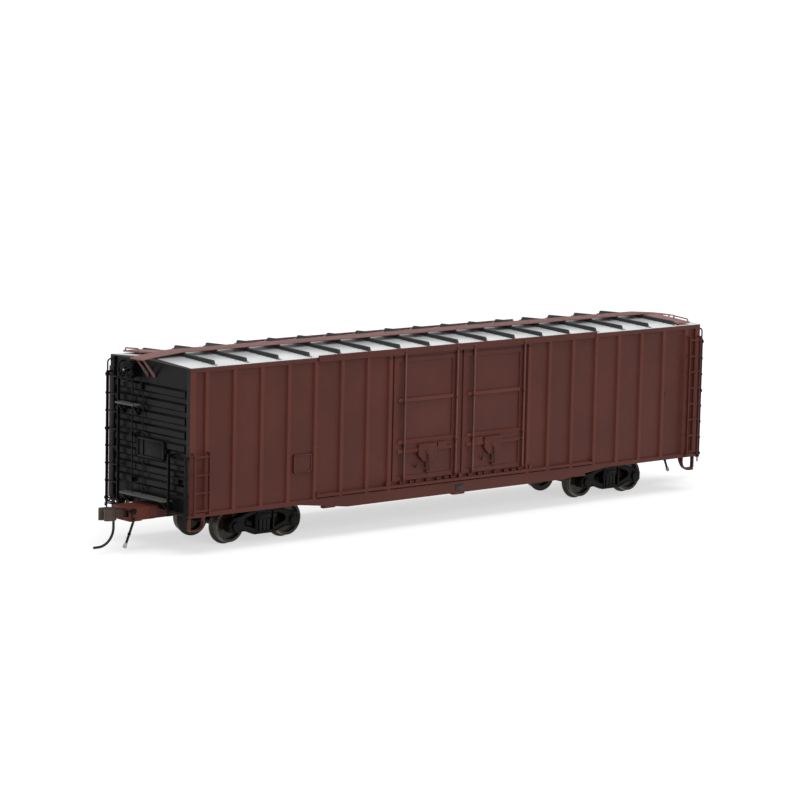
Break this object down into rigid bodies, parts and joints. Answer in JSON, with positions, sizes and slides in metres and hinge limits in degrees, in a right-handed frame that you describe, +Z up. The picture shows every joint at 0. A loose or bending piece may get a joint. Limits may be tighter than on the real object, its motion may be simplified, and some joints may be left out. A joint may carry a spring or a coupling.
{
  "type": "model railroad boxcar",
  "caption": "Scale model boxcar with outside posts, paired plug doors in each side, roof walkway, knuckle couplers and swivelling two-axle trucks.",
  "frame": {"origin": "middle of the car on the surface that it stands on, under the wheel flanges", "axes": "+X along the car towards the end with no hand brake, +Y to the far side, +Z up"},
  "size_m": [0.2346, 0.0394, 0.0537],
  "materials": {
    "body_brown": "satin oxide brown paint",
    "end_black": "satin black paint",
    "roof_silver": "bright aluminium-coloured paint with dark ribs",
    "walkway_brown": "brown walkway",
    "step_metal": "dull grey metal",
    "frame_black": "dull black plastic",
    "wheel_metal": "blackened turned metal",
    "coupler_dark": "dull dark brown metal",
    "hose_black": "black",
    "ballast_steel": "plain steel"
  },
  "bodies": {
    "carbody": {"side_wall_near": "body_brown", "side_wall_far": "body_brown", "end_wall_brake": "end_black", "end_wall_plain": "end_black", "roof": "roof_silver", "door_near_left": "body_brown", "door_near_right": "body_brown", "door_far_left": "body_brown", "door_far_right": "body_brown", "running_board": "walkway_brown", "roof_grab_irons": "frame_black", "underframe": "body_brown", "centre_sill": "body_brown", "ballast_weight": "ballast_steel", "draft_gear_box_a": "body_brown", "draft_gear_box_b": "body_brown", "swivel_screw_b": "frame_black", "swivel_screw_a": "frame_black", "side_ladder_tall_near": "body_brown", "side_ladder_short_near": "body_brown", "side_ladder_tall_far": "body_brown", "side_ladder_short_far": "body_brown", "end_ladder_tall_plain": "frame_black", "end_ladder_short_plain": "frame_black", "end_ladder_tall_brake": "frame_black", "end_ladder_short_brake": "frame_black", "sill_steps": "body_brown", "brake_platform": "step_metal", "crossover_platform_brake": "step_metal", "crossover_platform_plain": "step_metal", "brake_housing": "end_black", "brake_wheel": "frame_black", "brake_rod": "frame_black", "air_reservoir": "frame_black", "control_valve": "frame_black", "brake_cylinder": "frame_black", "air_hose_b": "hose_black", "air_hose_a": "hose_black", "uncoupling_lever_b": "frame_black", "uncoupling_lever_a": "frame_black"},
    "truck_b": {"truck_bolster_b": "frame_black", "side_frame_b_near": "frame_black", "side_frame_b_far": "frame_black"},
    "coupler_b": {"coupler_b_head": "coupler_dark"},
    "knuckle_b": {"knuckle_b": "coupler_dark"},
    "truck_a": {"truck_bolster_a": "frame_black", "side_frame_a_near": "frame_black", "side_frame_a_far": "frame_black"},
    "coupler_a": {"coupler_a_head": "coupler_dark"},
    "knuckle_a": {"knuckle_a": "coupler_dark"},
    "wheelset_1": {"axle_1": "frame_black", "wheels_1": "wheel_metal"},
    "wheelset_2": {"axle_2": "frame_black", "wheels_2": "wheel_metal"},
    "wheelset_3": {"axle_3": "frame_black", "wheels_3": "wheel_metal"},
    "wheelset_4": {"axle_4": "frame_black", "wheels_4": "wheel_metal"}
  },
  "joints": [
    {"name": "truck_b_swivel", "type": "hinge", "parent": "carbody", "child": "truck_b", "pos_m": [-0.06705, 0, 0.0085], "axis": [0, 0, 1], "range_deg": [-8, 8]},
    {"name": "truck_a_swivel", "type": "hinge", "parent": "carbody", "child": "truck_a", "pos_m": [0.06705, 0, 0.0085], "axis": [0, 0, 1], "range_deg": [-8, 8]},
    {"name": "wheelset_1_spin", "type": "hinge", "parent": "truck_b", "child": "wheelset_1", "pos_m": [-0.07715, 0, 0.00545], "axis": [0, 1, 0], "continuous": true},
    {"name": "wheelset_2_spin", "type": "hinge", "parent": "truck_b", "child": "wheelset_2", "pos_m": [-0.05695, 0, 0.00545], "axis": [0, 1, 0], "continuous": true},
    {"name": "wheelset_3_spin", "type": "hinge", "parent": "truck_a", "child": "wheelset_3", "pos_m": [0.05695, 0, 0.00545], "axis": [0, 1, 0], "continuous": true},
    {"name": "wheelset_4_spin", "type": "hinge", "parent": "truck_a", "child": "wheelset_4", "pos_m": [0.07715, 0, 0.00545], "axis": [0, 1, 0], "continuous": true},
    {"name": "coupler_b_swing", "type": "hinge", "parent": "carbody", "child": "coupler_b", "pos_m": [-0.1018, 0, 0.01045], "axis": [0, 0, 1], "range_deg": [-8, 8]},
    {"name": "coupler_a_swing", "type": "hinge", "parent": "carbody", "child": "coupler_a", "pos_m": [0.1018, 0, 0.01045], "axis": [0, 0, 1], "range_deg": [-8, 8]},
    {"name": "knuckle_b_open", "type": "hinge", "parent": "coupler_b", "child": "knuckle_b", "pos_m": [-0.1108, -0.0017, 0.01045], "axis": [0, 0, 1], "range_deg": [0, 30]},
    {"name": "knuckle_a_open", "type": "hinge", "parent": "coupler_a", "child": "knuckle_a", "pos_m": [0.1108, 0.0017, 0.01045], "axis": [0, 0, 1], "range_deg": [0, 30]}
  ]
}
